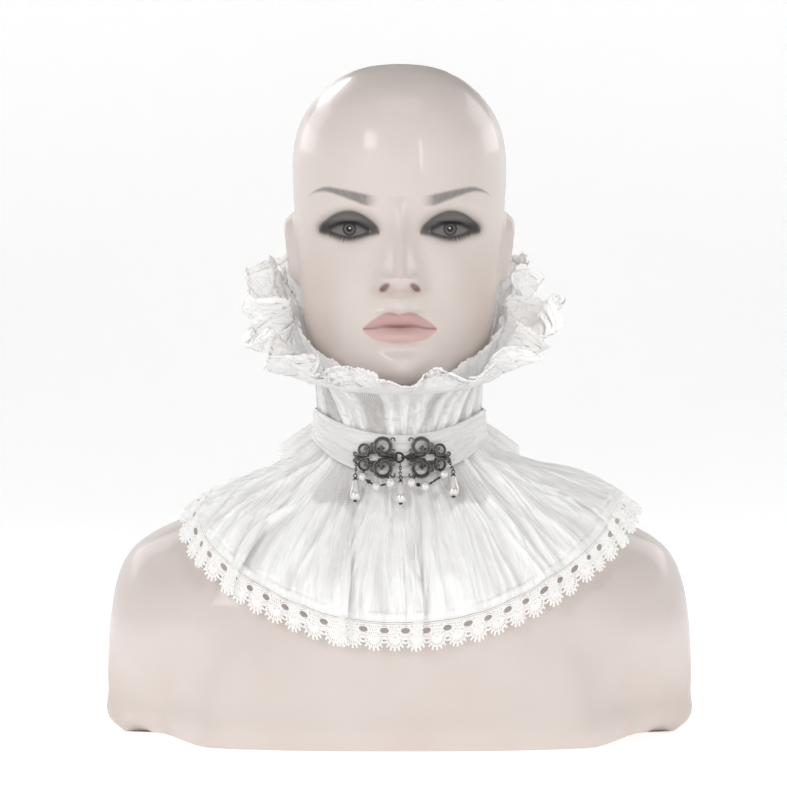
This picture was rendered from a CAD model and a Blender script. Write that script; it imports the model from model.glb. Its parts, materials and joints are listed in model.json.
"""The looks of a lace collar on a display bust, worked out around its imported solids.

Metres, +Z up, the face looks along -Y. Every cloth surface follows the bust's sections, as its solid does: a
point has a direction round the neck, a length down from a seam and a lift above the bust's skin.
"""

import json
import math

import bpy
import numpy as np
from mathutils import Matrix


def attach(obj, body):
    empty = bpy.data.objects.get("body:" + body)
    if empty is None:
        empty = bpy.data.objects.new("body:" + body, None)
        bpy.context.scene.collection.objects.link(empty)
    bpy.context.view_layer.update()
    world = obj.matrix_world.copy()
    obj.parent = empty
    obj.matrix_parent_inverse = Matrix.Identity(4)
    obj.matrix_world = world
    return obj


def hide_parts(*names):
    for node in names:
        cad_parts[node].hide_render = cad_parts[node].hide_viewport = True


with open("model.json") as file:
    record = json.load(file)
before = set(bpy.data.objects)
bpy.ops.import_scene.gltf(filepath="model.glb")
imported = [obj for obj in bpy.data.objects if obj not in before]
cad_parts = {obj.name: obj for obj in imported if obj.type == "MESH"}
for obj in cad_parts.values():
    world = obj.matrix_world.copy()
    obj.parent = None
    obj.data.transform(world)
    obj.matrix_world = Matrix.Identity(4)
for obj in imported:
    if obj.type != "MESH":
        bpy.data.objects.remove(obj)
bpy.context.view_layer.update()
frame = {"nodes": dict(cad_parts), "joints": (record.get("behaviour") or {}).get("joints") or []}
NODES = frame["nodes"]
BODY = "collar_on_bust"
FRONT = -math.pi / 2
NAPE = math.pi / 2
TWO_PI = 2 * math.pi

# Sizes that the solids are made from.
ORIGIN_Y = 0.0082
NECK_Y = 0.007
UNDER_LIFT = 0.0036
BELT_LIFT = 0.0072
LACE_UNDER = 0.0010
LACE_SINK = 0.22
LACE_LIFT = 0.0080
EYELET_MIDDLE = 0.0056
EYELET_HALF = (0.0034, 0.0021)
CAPE_PLEATS = 36
PLEAT_AT_BELT = 0.0008
PLEAT_GROWTH = 0.0026
BEHIND_BELT = 0.0090
NECK_PLEATS = 28
RUFF_WAVES = 15

# Sizes of what shows only here.
SHELL = 0.0004
BAND_SHELL = 0.0006
HEM = 0.0055
HEM_ROWS = 9
FOLD_HALF = 4.2
BELT_TUCKS = 4.3
RUFF_LACE_REPEATS = 120
RUFF_LACE_STEPS = 24
RUFF_HEM = 1.02
LACE_REPEAT = 0.0138
LACE_POINTS = 6
LACE_HEADER = (-0.0008, 0.0003, 0.0014, 0.0024)
LACE_THREAD = 0.00054
PICOT_THREAD = 0.00084
PICOTS = 9
FAN_MIDDLE = 0.0092

# Sections of the bust: height, half width, front, back, how square the section is (2 is an ellipse).
BUST = (
    (0.000, 0.1930, -0.0930, 0.0850, 2.6),
    (0.006, 0.2005, -0.0985, 0.0900, 2.6),
    (0.030, 0.2040, -0.1030, 0.0930, 2.6),
    (0.060, 0.2035, -0.1090, 0.0950, 2.5),
    (0.085, 0.2015, -0.1085, 0.0960, 2.4),
    (0.1055, 0.1980, -0.1030, 0.0950, 2.3),
    (0.120, 0.1925, -0.0960, 0.0925, 2.2),
    (0.130, 0.1850, -0.0900, 0.0890, 2.2),
    (0.1405, 0.1700, -0.0830, 0.0860, 2.2),
    (0.148, 0.1540, -0.0770, 0.0820, 2.2),
    (0.155, 0.1390, -0.0715, 0.0790, 2.2),
    (0.163, 0.1220, -0.0660, 0.0760, 2.2),
    (0.171, 0.1050, -0.0610, 0.0730, 2.1),
    (0.179, 0.0870, -0.0565, 0.0700, 2.1),
    (0.187, 0.0710, -0.0530, 0.0680, 2.0),
    (0.196, 0.0595, -0.0505, 0.0660, 2.0),
    (0.208, 0.0545, -0.0490, 0.0645, 2.0),
    (0.222, 0.0530, -0.0480, 0.0640, 2.0),
    (0.232, 0.0530, -0.0500, 0.0650, 2.0),
    (0.240, 0.0535, -0.0690, 0.0690, 1.75),
    (0.247, 0.0550, -0.0840, 0.0740, 1.75),
    (0.256, 0.0575, -0.0885, 0.0810, 1.80),
    (0.268, 0.0615, -0.0880, 0.0880, 1.90),
    (0.285, 0.0660, -0.0885, 0.0950, 1.95),
    (0.305, 0.0690, -0.0885, 0.0990, 2.0),
    (0.325, 0.0705, -0.0880, 0.1020, 2.0),
    (0.347, 0.0730, -0.0875, 0.1035, 2.0),
    (0.368, 0.0740, -0.0915, 0.1040, 2.0),
    (0.386, 0.0750, -0.0925, 0.1035, 2.0),
    (0.4065, 0.0744, -0.0900, 0.1000, 2.0),
    (0.4205, 0.0716, -0.0850, 0.0940, 2.0),
    (0.4345, 0.0649, -0.0760, 0.0840, 2.0),
    (0.4485, 0.0530, -0.0600, 0.0690, 2.0),
    (0.4570, 0.0412, -0.0450, 0.0540, 2.0),
    (0.4630, 0.0250, -0.0270, 0.0370, 2.0),
    (0.4650, 0.0120, -0.0100, 0.0220, 2.0),
)
CROWN = (0, 0.006, 0.4665)
# Rows of points up the head, closest where the face has detail: from, to, how many.
HEAD_ROWS = (
    (0.236, 0.262, 10),
    (0.262, 0.295, 35),
    (0.295, 0.312, 18),
    (0.312, 0.334, 9),
    (0.334, 0.360, 47),
    (0.360, 0.380, 22),
)
HEAD_LAST_ROW = 0.4652
# The nose: height, half width, how far it stands out.
NOSE = (
    (0.299, 0.0125, 0.0000),
    (0.304, 0.0121, 0.0160),
    (0.311, 0.0114, 0.0235),
    (0.330, 0.0088, 0.0150),
    (0.352, 0.0070, 0.0060),
    (0.366, 0.0070, 0.0000),
)
# Relief of the face: distance from the middle, height, spread sideways, spread up, relief.
FACE = (
    (0.0330, 0.3470, 0.0150, 0.0100, -0.0062),
    (0.0335, 0.3450, 0.0120, 0.0062, 0.0034),
    (0.0300, 0.3640, 0.0200, 0.0060, 0.0014),
    (0.0095, 0.3095, 0.0048, 0.0052, 0.0068),
    (0.0098, 0.3040, 0.0030, 0.0024, -0.0060),
    (0.0000, 0.2945, 0.0030, 0.0060, -0.0012),
    (0.0060, 0.2865, 0.0110, 0.0038, 0.0036),
    (0.0000, 0.2800, 0.0180, 0.0014, -0.0020),
    (0.0000, 0.2735, 0.0170, 0.0050, 0.0062),
    (0.0000, 0.2650, 0.0140, 0.0040, -0.0022),
    (0.0335, 0.3522, 0.0150, 0.0020, -0.0014),
    (0.0420, 0.3140, 0.0160, 0.0160, 0.0030),
    (0.0000, 0.2540, 0.0150, 0.0080, 0.0030),
)
EYE = (0.0340, 0.3452)
EYE_HALF = (0.0140, 0.0048)
IRIS = 0.0049
LIPS_MIDDLE = 0.2800
LIP_HALF = 0.0250
# The brow: distance from the middle, height, half its thickness.
BROW = (
    (0.0130, 0.3636, 0.0030),
    (0.0210, 0.3640, 0.0036),
    (0.0309, 0.3670, 0.0032),
    (0.0400, 0.3702, 0.0026),
    (0.0510, 0.3732, 0.0019),
    (0.0590, 0.3718, 0.0011),
    (0.0645, 0.3682, 0.0003),
)
# Colours of the bust's lacquer and of the paint on the face.
SKIN = (0.705, 0.638, 0.606)
WARM_SHADE = (0.60, 0.51, 0.45)
UNDER_NOSE = (0.45, 0.34, 0.30)
NOSTRIL = (0.22, 0.12, 0.11)
UPPER_LIP = (0.56, 0.36, 0.35)
LOWER_LIP = (0.66, 0.45, 0.44)
LIP_LINE = (0.24, 0.12, 0.12)
LIP_MIDDLE = (0.26, 0.14, 0.13)
LID_SHADE = (0.20, 0.175, 0.165)
LID = (0.095, 0.09, 0.088)
LID_LIGHT = (0.17, 0.165, 0.162)
LASH = (0.03, 0.027, 0.026)
OUTER_LASH = (0.02, 0.018, 0.018)
UNDER_LID = (0.05, 0.045, 0.044)
LOWER_LINE = (0.04, 0.037, 0.036)
LINER = (0.012, 0.011, 0.011)
EYE_WHITE = (0.155, 0.148, 0.146)
IRIS_GREY = (0.12, 0.125, 0.118)
PUPIL = (0.004, 0.004, 0.004)
GLINT = (0.85, 0.85, 0.85)
EYE_CORNER = (0.36, 0.16, 0.15)
BROW_GREY = (0.17, 0.165, 0.16)
EAR_DARK = (0.02, 0.01, 0.01)
EAR_MIDDLE = (0.0150, 0.3385)
EAR_HALF = (0.0190, 0.0290)
EAR_RELIEF = 0.0085
# The fold in front of each arm: X and height of a point on it, how far it leans out, width and depth.
ARM_FOLD = (0.1225, 0.0680)
ARM_FOLD_LEAN = 0.25
ARM_FOLD_WIDTH = 0.0100
ARM_FOLD_DEPTH = 0.0055
ARM_SET_BACK = 0.0460

# Heights of the seams round the neck: in front, at the sides, at the nape.
RUFF_SEAM = (0.2350, 0.2420, 0.2560)
BELT_TOP = (0.2080, 0.2260, 0.2380)
BELT_BOTTOM = (0.1800, 0.2055, 0.2100)

# The cape: degrees from the front, + towards +X, length of cloth below the belt, how far the hem stands off.
CAPE = (
    (-180, 0.1120, 0.0070),
    (-125, 0.1090, 0.0080),
    (-90, 0.0920, 0.0070),
    (-55, 0.1120, 0.0080),
    (-30, 0.1110, 0.0080),
    (0, 0.1080, 0.0070),
    (30, 0.1110, 0.0080),
    (60, 0.1120, 0.0100),
    (90, 0.1080, 0.0160),
    (125, 0.1120, 0.0100),
    (180, 0.1120, 0.0070),
)
# Large folds laid over their neighbour: direction of the fold's edge, its height at the hem, its width.
CAPE_FOLDS = (
    (-139, 0.0046, 26),
    (-108, 0.0030, 20),
    (-84, 0.0036, 22),
    (-24, 0.0042, -26),
    (28, 0.0040, -28),
    (70, 0.0030, 24),
    (112, 0.0030, -24),
    (152, 0.0042, 26),
)
# The cape's creases: how many round, their length, seed, sway, sharpness, height, the level taken as flat.
CAPE_CREASES = (
    (60, 0.150, 51, 2.0, 2.0, 0.0034, 0.35),
    (124, 0.095, 52, 2.2, 1.6, 0.0028, 0.40),
    (248, 0.060, 54, 1.8, 1.0, 0.0019, 0.50),
)
# The ruff's edge: degrees away from the front, reach from the neck's axis, height, wave in and out, wave up.
RUFF_EDGE = (
    (0, 0.1040, 0.2435, 0.0035, 0.0030),
    (22, 0.1060, 0.2480, 0.0060, 0.0040),
    (45, 0.1070, 0.2580, 0.0095, 0.0060),
    (70, 0.0990, 0.2790, 0.0125, 0.0080),
    (95, 0.0950, 0.3080, 0.0145, 0.0090),
    (125, 0.0990, 0.3310, 0.0115, 0.0080),
    (180, 0.1120, 0.3380, 0.0130, 0.0070),
)
# The part of the ruff that folds up in front of the jaw: degrees away from the front, height of its edge.
JAW_FOLD = (
    (0, 0.2400),
    (15, 0.2412),
    (31, 0.2550),
    (46, 0.2625),
    (62, 0.2715),
    (85, 0.2880),
    (105, 0.2960),
    (125, 0.2500),
)
JAW_FOLD_REACH = 120
JAW_FOLD_SCALLOPS = 52

# The clasp's plates, and the scrolls laid on them.
CLASP_X = 0.0015
CLASP_Z = 0.1930
CLASP_FACE = 0.0115
# Half of the clasp's scrolls: out from the middle, up, outer and inner radius, first angle, sweep, half
# width of the band, how far the curl moves in.
SCROLLS = (
    (0.0130, 0.0074, 0.0054, 0.0012, -60, 450, 0.00150, 0.0014),
    (0.0254, 0.0049, 0.0036, 0.0008, 190, -430, 0.00110, -0.0004),
    (0.0060, 0.0112, 0.0018, 0.0010, -40, 230, 0.00062, 0.0000),
    (0.0197, 0.0082, 0.0012, 0.0006, -90, 330, 0.00080, 0.0000),
    (0.0058, 0.0040, 0.0013, 0.0006, -120, 300, 0.00070, 0.0000),
    (0.0312, 0.0022, 0.0013, 0.0006, -160, 300, 0.00070, 0.0000),
)
# Half of the clasp's straight bands: from, to, height there and there, how far they bow out, half width.
BANDS = (
    (0.0030, 0.0160, 0.0006, 0.0016, 0.0004, 0.00170),
    (0.0220, 0.0320, 0.0014, 0.0006, 0.0002, 0.00140),
    (0.0130, 0.0262, 0.0024, 0.0022, 0.0012, 0.00130),
    (0.0150, 0.0240, 0.0048, 0.0046, 0.0008, 0.00150),
    (0.0170, 0.0236, 0.0070, 0.0062, 0.0008, 0.00110),
)
SCROLL_POINTS = 30
RIM = 0.00034
RIM_PLACE = 0.62
EYE_RING = 0.0030
FASTENING_WIRE = 0.0008
HOOK_LENGTH = 0.0093

# The swag: name, X, height, radius of the pearl.
PEARLS = (
    ("pearl_1", -0.0252, 0.1800, 0.0030),
    ("pearl_2", -0.0158, 0.1738, 0.0031),
    ("pearl_3", -0.0060, 0.1762, 0.0034),
    ("pearl_4", 0.0076, 0.1762, 0.0034),
    ("pearl_5", 0.0170, 0.1738, 0.0031),
    ("pearl_6", 0.0298, 0.1815, 0.0030),
)
SWAG_LIFT = 0.0151
# The wires' solids, and the links that carry a spacer.
WIRES = ("link_12", "link_23", "link_45", "link_56", "pin_1", "pin_3", "pin_4", "pin_6")
SPACERS = ("link_12", "link_45")
WIRE = 0.00034
WIRE_APART = 0.00042
CHAIN_STEP = 0.0024
# A drop's pearl, cap and foot: radius, height from the eye that it hangs by.
DROP_PEARL = (
    (0.00020, -0.0026),
    (0.00125, -0.0032),
    (0.00175, -0.0062),
    (0.00300, -0.0108),
    (0.00385, -0.0142),
    (0.00335, -0.0170),
    (0.00160, -0.0183),
    (0.00020, -0.0186),
)
DROP_CAP = (
    (0.0002, -0.0019),
    (0.0008, -0.0020),
    (0.0013, -0.0026),
    (0.00165, -0.0036),
    (0.0014, -0.0038),
    (0.0002, -0.0034),
)
DROP_FOOT = (
    (0.0002, -0.0184),
    (0.0011, -0.0186),
    (0.0013, -0.0190),
    (0.0006, -0.0194),
    (0.0002, -0.0194),
)

# The bow at the nape.
RIBBON = 0.0240
KNOT = (0.0797, 0.2235)
KNOT_HALF = (0.0085, 0.0070, 0.0125)
LOOP_REACH = 0.0880
LOOP_DROOP = 0.0380
LOOP_HALF_DEPTH = 0.0110
TAIL_START = 0.0008
TAIL_LENGTH = 0.1180
TAIL_LIFT = 0.0147
# Distance from the neck's axis at which a tail's width is turned into an angle.
TAIL_AXIS = 0.095

# Soft lights: name, place, width and height, power. They face a point on the bust's middle line.
LIGHTS = (
    ("key", (-1.3, -1.5, 1.4), (0.6, 0.6), 10.6),
    ("fill", (1.6, -1.5, 0.9), (1.4, 1.4), 3.2),
    ("strip", (0.55, -1.05, 0.75), (0.11, 0.5), 1.5),
    ("low", (0.0, -1.7, 0.12), (1.2, 0.3), 0.7),
    ("top", (0.0, -0.35, 1.5), (0.8, 0.5), 1.8),
    ("gloss", (-0.55, 1.05, 1.15), (0.3, 0.3), 3.5),
    ("back_left", (-1.4, 1.2, 1.2), (1.0, 1.0), 6),
    ("back_right", (1.4, 1.2, 1.2), (1.0, 1.0), 6),
)
LIT_POINT = (0, 0, 0.25)
CAMERA_PLACE = (-0.0042, -1.6082, 0.236)
CAMERA_LENS = 104.5
CAMERA_SENSOR = 36
SKY = 0.18
PAPER_GLOW = 0.44


def smooth(at, table, column):
    """A column of a table, read by a cubic curve through its rows (slopes from the neighbouring rows)."""
    xs = np.array([row[0] for row in table], float)
    ys = np.array([row[column] for row in table], float)
    slopes = np.gradient(ys, xs)
    at = np.clip(np.asarray(at, float), xs[0], xs[-1])
    i = np.clip(np.searchsorted(xs, at) - 1, 0, len(xs) - 2)
    step = xs[i + 1] - xs[i]
    t = (at - xs[i]) / step
    return (
        (2 * t**3 - 3 * t**2 + 1) * ys[i]
        + (t**3 - 2 * t**2 + t) * step * slopes[i]
        + (3 * t**2 - 2 * t**3) * ys[i + 1]
        + (t**3 - t**2) * step * slopes[i + 1]
    )


def ease(t):
    """0 before 0, 1 after 1, and a smooth step between."""
    t = np.clip(t, 0.0, 1.0)
    return t * t * (3 - 2 * t)


def hump(x, middle, width):
    """A bell of height 1 about the middle."""
    return np.exp(-(((x - middle) / width) ** 2))


def unit(vectors):
    """The same directions, each of length 1."""
    return vectors / np.maximum(np.linalg.norm(vectors, axis=-1, keepdims=True), 1e-12)


def grid(across, down):
    """Two parameters at every point of a grid, the first along its columns."""
    return np.meshgrid(across, down, indexing="ij")


def circle(count, start=0.0):
    """Even directions all the way round, from a start."""
    return start + np.arange(count) * TWO_PI / count


def place_round(turn, count):
    """A direction as a place from 0 to count round the neck."""
    return count * (turn + math.pi) / TWO_PI


def from_front_signed(turn):
    """Degrees from the front, -180 to 180, positive towards +X."""
    return np.degrees(np.arctan2(np.cos(turn), -np.sin(turn)))


def seam(heights, turn):
    """The height of a seam that is given in front, at the sides and at the nape."""
    front, side, back = heights
    s = np.sin(turn)
    return side + np.where(s < 0, front - side, back - side) * s * s


def uneven(turn, count, seed):
    """A phase that turns count times round the neck, with folds now wider and now narrower."""
    return count * turn + 0.9 * np.sin(3 * turn + seed) + 0.7 * np.sin(7 * turn + 2.1 * seed)


def speckle(a, b, seed, repeat=64):
    """Soft noise, 0 to 1: a random value at each whole a and b, eased between. It repeats in a."""
    cells = np.random.default_rng(seed).random((repeat, 64))
    i, j = np.floor(a).astype(int), np.floor(b).astype(int)
    s, t = ease(a - i), ease(b - j)
    near = cells[i % repeat, j % 64] * (1 - t) + cells[i % repeat, (j + 1) % 64] * t
    far = cells[(i + 1) % repeat, j % 64] * (1 - t) + cells[(i + 1) % repeat, (j + 1) % 64] * t
    return near * (1 - s) + far * s


def creases(turn, down, count, length, seed, sway=1.5):
    """Thin ridges that run down the cloth, 0 to 1: noise folded at its middle, about count of them round
    the neck, each about so long, swaying sideways by a second noise."""
    place = place_round(turn, count)
    side = sway * (speckle(place / 4, down / length * 1.7, seed + 1, count // 4) - 0.5)
    return 1 - np.abs(2 * speckle(place + side, down / length, seed, count) - 1)


def skin(turn, z):
    """Distance of the bust's plain section from the neck's axis."""
    wide = smooth(z, BUST, 1)
    deep = np.where(np.sin(turn) < 0, NECK_Y - smooth(z, BUST, 2), smooth(z, BUST, 3) - NECK_Y)
    power = smooth(z, BUST, 4)
    return (np.abs(np.cos(turn) / wide) ** power + np.abs(np.sin(turn) / deep) ** power) ** (-1 / power)


def around(turn, r, z):
    """Points at a direction, a distance from the neck's axis and a height, in the collar's own frame."""
    turn, r, z = np.broadcast_arrays(turn, r, z)
    return np.stack([r * np.cos(turn), NECK_Y + r * np.sin(turn), z], axis=-1)


def on_neck(turn, z, lift):
    """Points at a lift from the bust's plain section, at their own height."""
    return around(turn, skin(turn, z) + lift, z)


def skin_table():
    """The bust's skin below the belt, as points and outward normals on an even grid: direction by length
    down from the belt's lower seam. Each column of sections is walked down its own length."""
    levels = np.linspace(0.262, 0.012, 300)
    turns = np.linspace(-math.pi, math.pi, len(DRAPE_TURNS))
    points = around(turns[:, None], skin(turns[:, None], levels[None]), levels[None])
    out = unit(np.cross(np.gradient(points, axis=1), np.gradient(points, axis=0)))
    run = np.linalg.norm(np.diff(points, axis=1), axis=2)
    run = np.concatenate([np.zeros((len(turns), 1)), np.cumsum(run, axis=1)], axis=1)
    both = np.concatenate([points, out], axis=2)
    table = np.zeros((len(turns), len(DRAPE_DOWN), 6))
    for column, turn in enumerate(turns):
        start = np.interp(-seam(BELT_BOTTOM, turn), -levels, run[column])
        for axis in range(6):
            table[column, :, axis] = np.interp(DRAPE_DOWN + start, run[column], both[column, :, axis])
    return table


DRAPE_TURNS = np.linspace(-math.pi, math.pi, 361)
DRAPE_DOWN = np.linspace(-0.020, 0.160, 181)
DRAPE = skin_table()


def drape(turn, down, lift):
    """Points a length down the bust's skin from the belt's lower seam, and a lift out along its normal:
    the table's four nearest entries, mixed by how near they are."""
    turn, down, lift = np.broadcast_arrays(turn, down, lift)
    a = ((turn + math.pi) % TWO_PI) / TWO_PI * (len(DRAPE_TURNS) - 1)
    b = np.clip((down - DRAPE_DOWN[0]) / (DRAPE_DOWN[1] - DRAPE_DOWN[0]), 0, len(DRAPE_DOWN) - 1.001)
    i, j = np.minimum(a.astype(int), len(DRAPE_TURNS) - 2), b.astype(int)
    s, t = (a - i)[..., None], (b - j)[..., None]
    near = DRAPE[i, j] * (1 - t) + DRAPE[i, j + 1] * t
    far = DRAPE[i + 1, j] * (1 - t) + DRAPE[i + 1, j + 1] * t
    found = near * (1 - s) + far * s
    return found[..., :3] + unit(found[..., 3:]) * lift[..., None]


def new_object(name, points, quads, material, body=BODY):
    """A piece from whole arrays of points and four-sided faces, in its place, riding on its body if it
    has one."""
    points = np.asarray(points, float).reshape(-1, 3) - (0, ORIGIN_Y, 0)
    quads = np.asarray(quads, np.int32)
    mesh = bpy.data.meshes.new(name)
    mesh.vertices.add(len(points))
    mesh.vertices.foreach_set("co", points.ravel())
    mesh.loops.add(quads.size)
    mesh.loops.foreach_set("vertex_index", quads.ravel())
    mesh.polygons.add(len(quads))
    mesh.polygons.foreach_set("loop_start", np.arange(len(quads)) * 4)
    mesh.update(calc_edges=True)
    mesh.shade_smooth()
    mesh.materials.append(material)
    obj = bpy.data.objects.new(name, mesh)
    bpy.context.scene.collection.objects.link(obj)
    if body:
        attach(obj, body)
    return obj


def stand_for(obj, slot, *nodes):
    """The piece takes the place and the finish slot of these solids."""
    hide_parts(*nodes)


def grid_quads(columns, rows, closed=False):
    """Four-sided faces of a grid stored column by column, and closed round when asked."""
    i, j = grid(np.arange(columns if closed else columns - 1), np.arange(rows - 1))
    here, after = i * rows + j, (i + 1) % columns * rows + j
    return np.stack([here, here + 1, after + 1, after], axis=-1).reshape(-1, 4)


def lay_map(obj, columns, rows, across, down, closed=False):
    """A UV map in metres: across the cloth and down it, run on past the closing seam."""
    i, j = grid(np.arange(columns if closed else columns - 1), np.arange(rows - 1))
    corner_i = np.stack([i, i, i + 1, i + 1], axis=-1).ravel()
    corner_j = np.stack([j, j + 1, j + 1, j], axis=-1).ravel()
    if closed:
        across = np.concatenate([across, across[:1] + (across[-1:] - across[:1]) * columns / (columns - 1)])
        down = np.concatenate([down, down[:1]])
    uv = np.stack([across[corner_i, corner_j], down[corner_i, corner_j]], axis=-1)
    obj.data.uv_layers.new(name="cloth").data.foreach_set("uv", uv.ravel())


def lay_map_from(obj):
    """A plain UV map in metres from a piece's own height and X + Y."""
    index = np.empty(len(obj.data.loops), np.int32)
    obj.data.loops.foreach_get("vertex_index", index)
    co = np.empty(len(obj.data.vertices) * 3, np.float32)
    obj.data.vertices.foreach_get("co", co)
    co = co.reshape(-1, 3)[index]
    uv = np.stack([co[:, 2] + 0.02, co[:, 0] + co[:, 1]], axis=1)
    obj.data.uv_layers.new(name="cloth").data.foreach_set("uv", uv.ravel())


def mark(obj, **values):
    """Numbers at each point of a piece, for its material."""
    for name, value in values.items():
        layer = obj.data.attributes.new(name, "FLOAT", "POINT")
        layer.data.foreach_set("value", np.asarray(value, np.float32).ravel())


def shell(obj, thickness=SHELL):
    """Gives an open cloth surface its thickness, on its inner side, with closed edges."""
    solidify = obj.modifiers.new("thickness", "SOLIDIFY")
    solidify.thickness = thickness
    solidify.offset = -1
    solidify.use_rim = True


def tubes(name, lines, radius, side_of, material, body=BODY, sides=4, closed=False, flat=1.0):
    """Round threads or wires along many lines at once. lines is (line, point, 3), radius a number or
    (line, point), side_of the surface's normal at each point. Each ring of a thread is: point + radius
    times (flat times cos a times the normal + sin a times the cross of normal and direction)."""
    count, length = lines.shape[:2]
    if closed:
        along = np.roll(lines, -1, axis=1) - np.roll(lines, 1, axis=1)
    else:
        along = np.gradient(lines, axis=1)
    along = unit(along)
    normal = unit(side_of - along * np.sum(side_of * along, axis=-1, keepdims=True))
    across = np.cross(along, normal)
    angle = (np.arange(sides) + 0.5) * TWO_PI / sides
    reach = np.broadcast_to(np.asarray(radius, float), (count, length))[..., None, None]
    rings = lines[:, :, None] + reach * (
        flat * np.cos(angle)[:, None] * normal[:, :, None] + np.sin(angle)[:, None] * across[:, :, None]
    )
    steps = np.arange(length if closed else length - 1)
    which, point, side = np.meshgrid(np.arange(count), steps, np.arange(sides), indexing="ij")
    here = (which * length + point) * sides
    there = (which * length + (point + 1) % length) * sides
    turn = (side + 1) % sides
    quads = np.stack([here + side, here + turn, there + turn, there + side], axis=-1).reshape(-1, 4)
    if not closed:
        first = np.arange(count)[:, None] * length * sides
        last = first + (length - 1) * sides
        for k in range(sides // 2 - 1):
            cap = np.array((k, sides - 1 - k, sides - 2 - k, k + 1))
            quads = np.concatenate([quads, first + cap, last + cap[::-1]])
    return new_object(name, rings, quads, material, body)


def tree_of(name):
    """A new material, with its node tree and its Principled shader."""
    material = bpy.data.materials.new(name)
    material.use_nodes = True
    tree = material.node_tree
    return material, tree, tree.nodes["Principled BSDF"]


def node(tree, kind, settings=(), inputs=()):
    """A node with some settings and inputs. An input that is a socket is linked, any other is a value."""
    made = tree.nodes.new(kind)
    for key, value in dict(settings).items():
        setattr(made, key, value)
    for key, value in dict(inputs).items():
        if isinstance(value, bpy.types.NodeSocket):
            tree.links.new(value, made.inputs[key])
        else:
            made.inputs[key].default_value = value
    return made


def math_node(tree, operation, a, b=0.5):
    """The result of one sum on two sockets or numbers."""
    return node(tree, "ShaderNodeMath", {"operation": operation}, {0: a, 1: b}).outputs[0]


def mix_colour(tree, share, a, b):
    """A colour between a and b."""
    mixed = node(tree, "ShaderNodeMix", {"data_type": "RGBA"}, {0: share})
    for slot, value in ((6, a), (7, b)):
        if isinstance(value, bpy.types.NodeSocket):
            tree.links.new(value, mixed.inputs[slot])
        else:
            mixed.inputs[slot].default_value = (*value, 1)
    return mixed.outputs[2]


def set_inputs(shader, values):
    """Numbers and colours that are the same all over a finish."""
    for socket, value in values.items():
        shader.inputs[socket].default_value = value


def ranged(tree, value, low, high, start=0.0, end=1.0):
    """A value that goes from low to high as another goes from start to end."""
    return node(tree, "ShaderNodeMapRange", {}, {0: value, 1: start, 2: end, 3: low, 4: high}).outputs[0]


def tinted(tree, colour, layers):
    """A colour with tints laid over it. Each layer is where it lies, its strength and its tint."""
    for where, strength, tint in layers:
        colour = mix_colour(tree, math_node(tree, "MULTIPLY", where, strength), colour, tint)
    return colour


def stretched_noise(tree, place, scale, size=1.0, detail=3.0):
    """Noise on a position that is first scaled on each axis."""
    spread = node(tree, "ShaderNodeMapping", {}, {"Vector": place, "Scale": scale}).outputs[0]
    values = {"Vector": spread, "Scale": size, "Detail": detail}
    return node(tree, "ShaderNodeTexNoise", {}, values).outputs[0]


def even_noise(tree, size, detail):
    """Noise through the piece itself, the same in all directions."""
    place = node(tree, "ShaderNodeTexCoord").outputs["Object"]
    return stretched_noise(tree, place, (1, 1, 1), size, detail)


def crease_lines(tree, cloth, scale, width):
    """Thin wandering lines, 1 on the line: where noise on the cloth is within a width of its middle
    value."""
    noise = stretched_noise(tree, cloth, scale, 1.0, 2.0)
    off = math_node(tree, "ABSOLUTE", math_node(tree, "SUBTRACT", noise))
    return ranged(tree, off, 1.0, 0.0, 0.0, width)


def net_threads(tree, cloth, scale, distortion):
    """The slanting threads of the net layer."""
    spread = node(tree, "ShaderNodeMapping", {}, {"Vector": cloth, "Scale": (scale, scale, 1)}).outputs[0]
    return node(tree, "ShaderNodeTexWave", {"wave_type": "BANDS", "bands_direction": "DIAGONAL"},
                {"Vector": spread, "Scale": 1.0, "Distortion": distortion}).outputs["Fac"]


def cloth_inputs(tree):
    """The cloth's own map, how far each point is net, and how far it lies in a fold."""
    cloth = node(tree, "ShaderNodeUVMap", {"uv_map": "cloth"}).outputs[0]
    net = node(tree, "ShaderNodeAttribute", {"attribute_name": "net"}).outputs["Fac"]
    fold = node(tree, "ShaderNodeAttribute", {"attribute_name": "fold"}).outputs["Fac"]
    return cloth, net, fold


def bumps(tree, shader, layers):
    """Bumps laid on each other. Each layer is a height, its strength and its depth in metres."""
    below = {}
    for height, strength, depth in layers:
        inputs = {"Height": height, "Strength": strength, "Distance": depth}
        below = {"Normal": node(tree, "ShaderNodeBump", {}, {**inputs, **below}).outputs[0]}
    tree.links.new(below["Normal"], shader.inputs["Normal"])


def lacquer():
    """The bust's smooth satin lacquer. Its colour is in the points: plain, with the painted face."""
    material, tree, shader = tree_of("bust_lacquer")
    paint = node(tree, "ShaderNodeAttribute", {"attribute_name": "paint"}).outputs["Color"]
    cloud = even_noise(tree, 18.0, 4.0)
    tint = mix_colour(tree, cloud, (1.0, 1.0, 1.0), (0.90, 0.87, 0.85))
    multiply = {"data_type": "RGBA", "blend_type": "MULTIPLY"}
    toned = node(tree, "ShaderNodeMix", multiply, {0: 1.0, 6: paint, 7: tint}).outputs[2]
    tree.links.new(toned, shader.inputs["Base Color"])
    tree.links.new(ranged(tree, cloud, 0.26, 0.40), shader.inputs["Roughness"])
    set_inputs(shader, {"Specular IOR Level": 0.20, "Coat Weight": 0.30, "Coat Roughness": 0.09})
    bumps(tree, shader, [(even_noise(tree, 260.0, 3.0), 0.05, 0.0004)])
    return material


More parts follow.
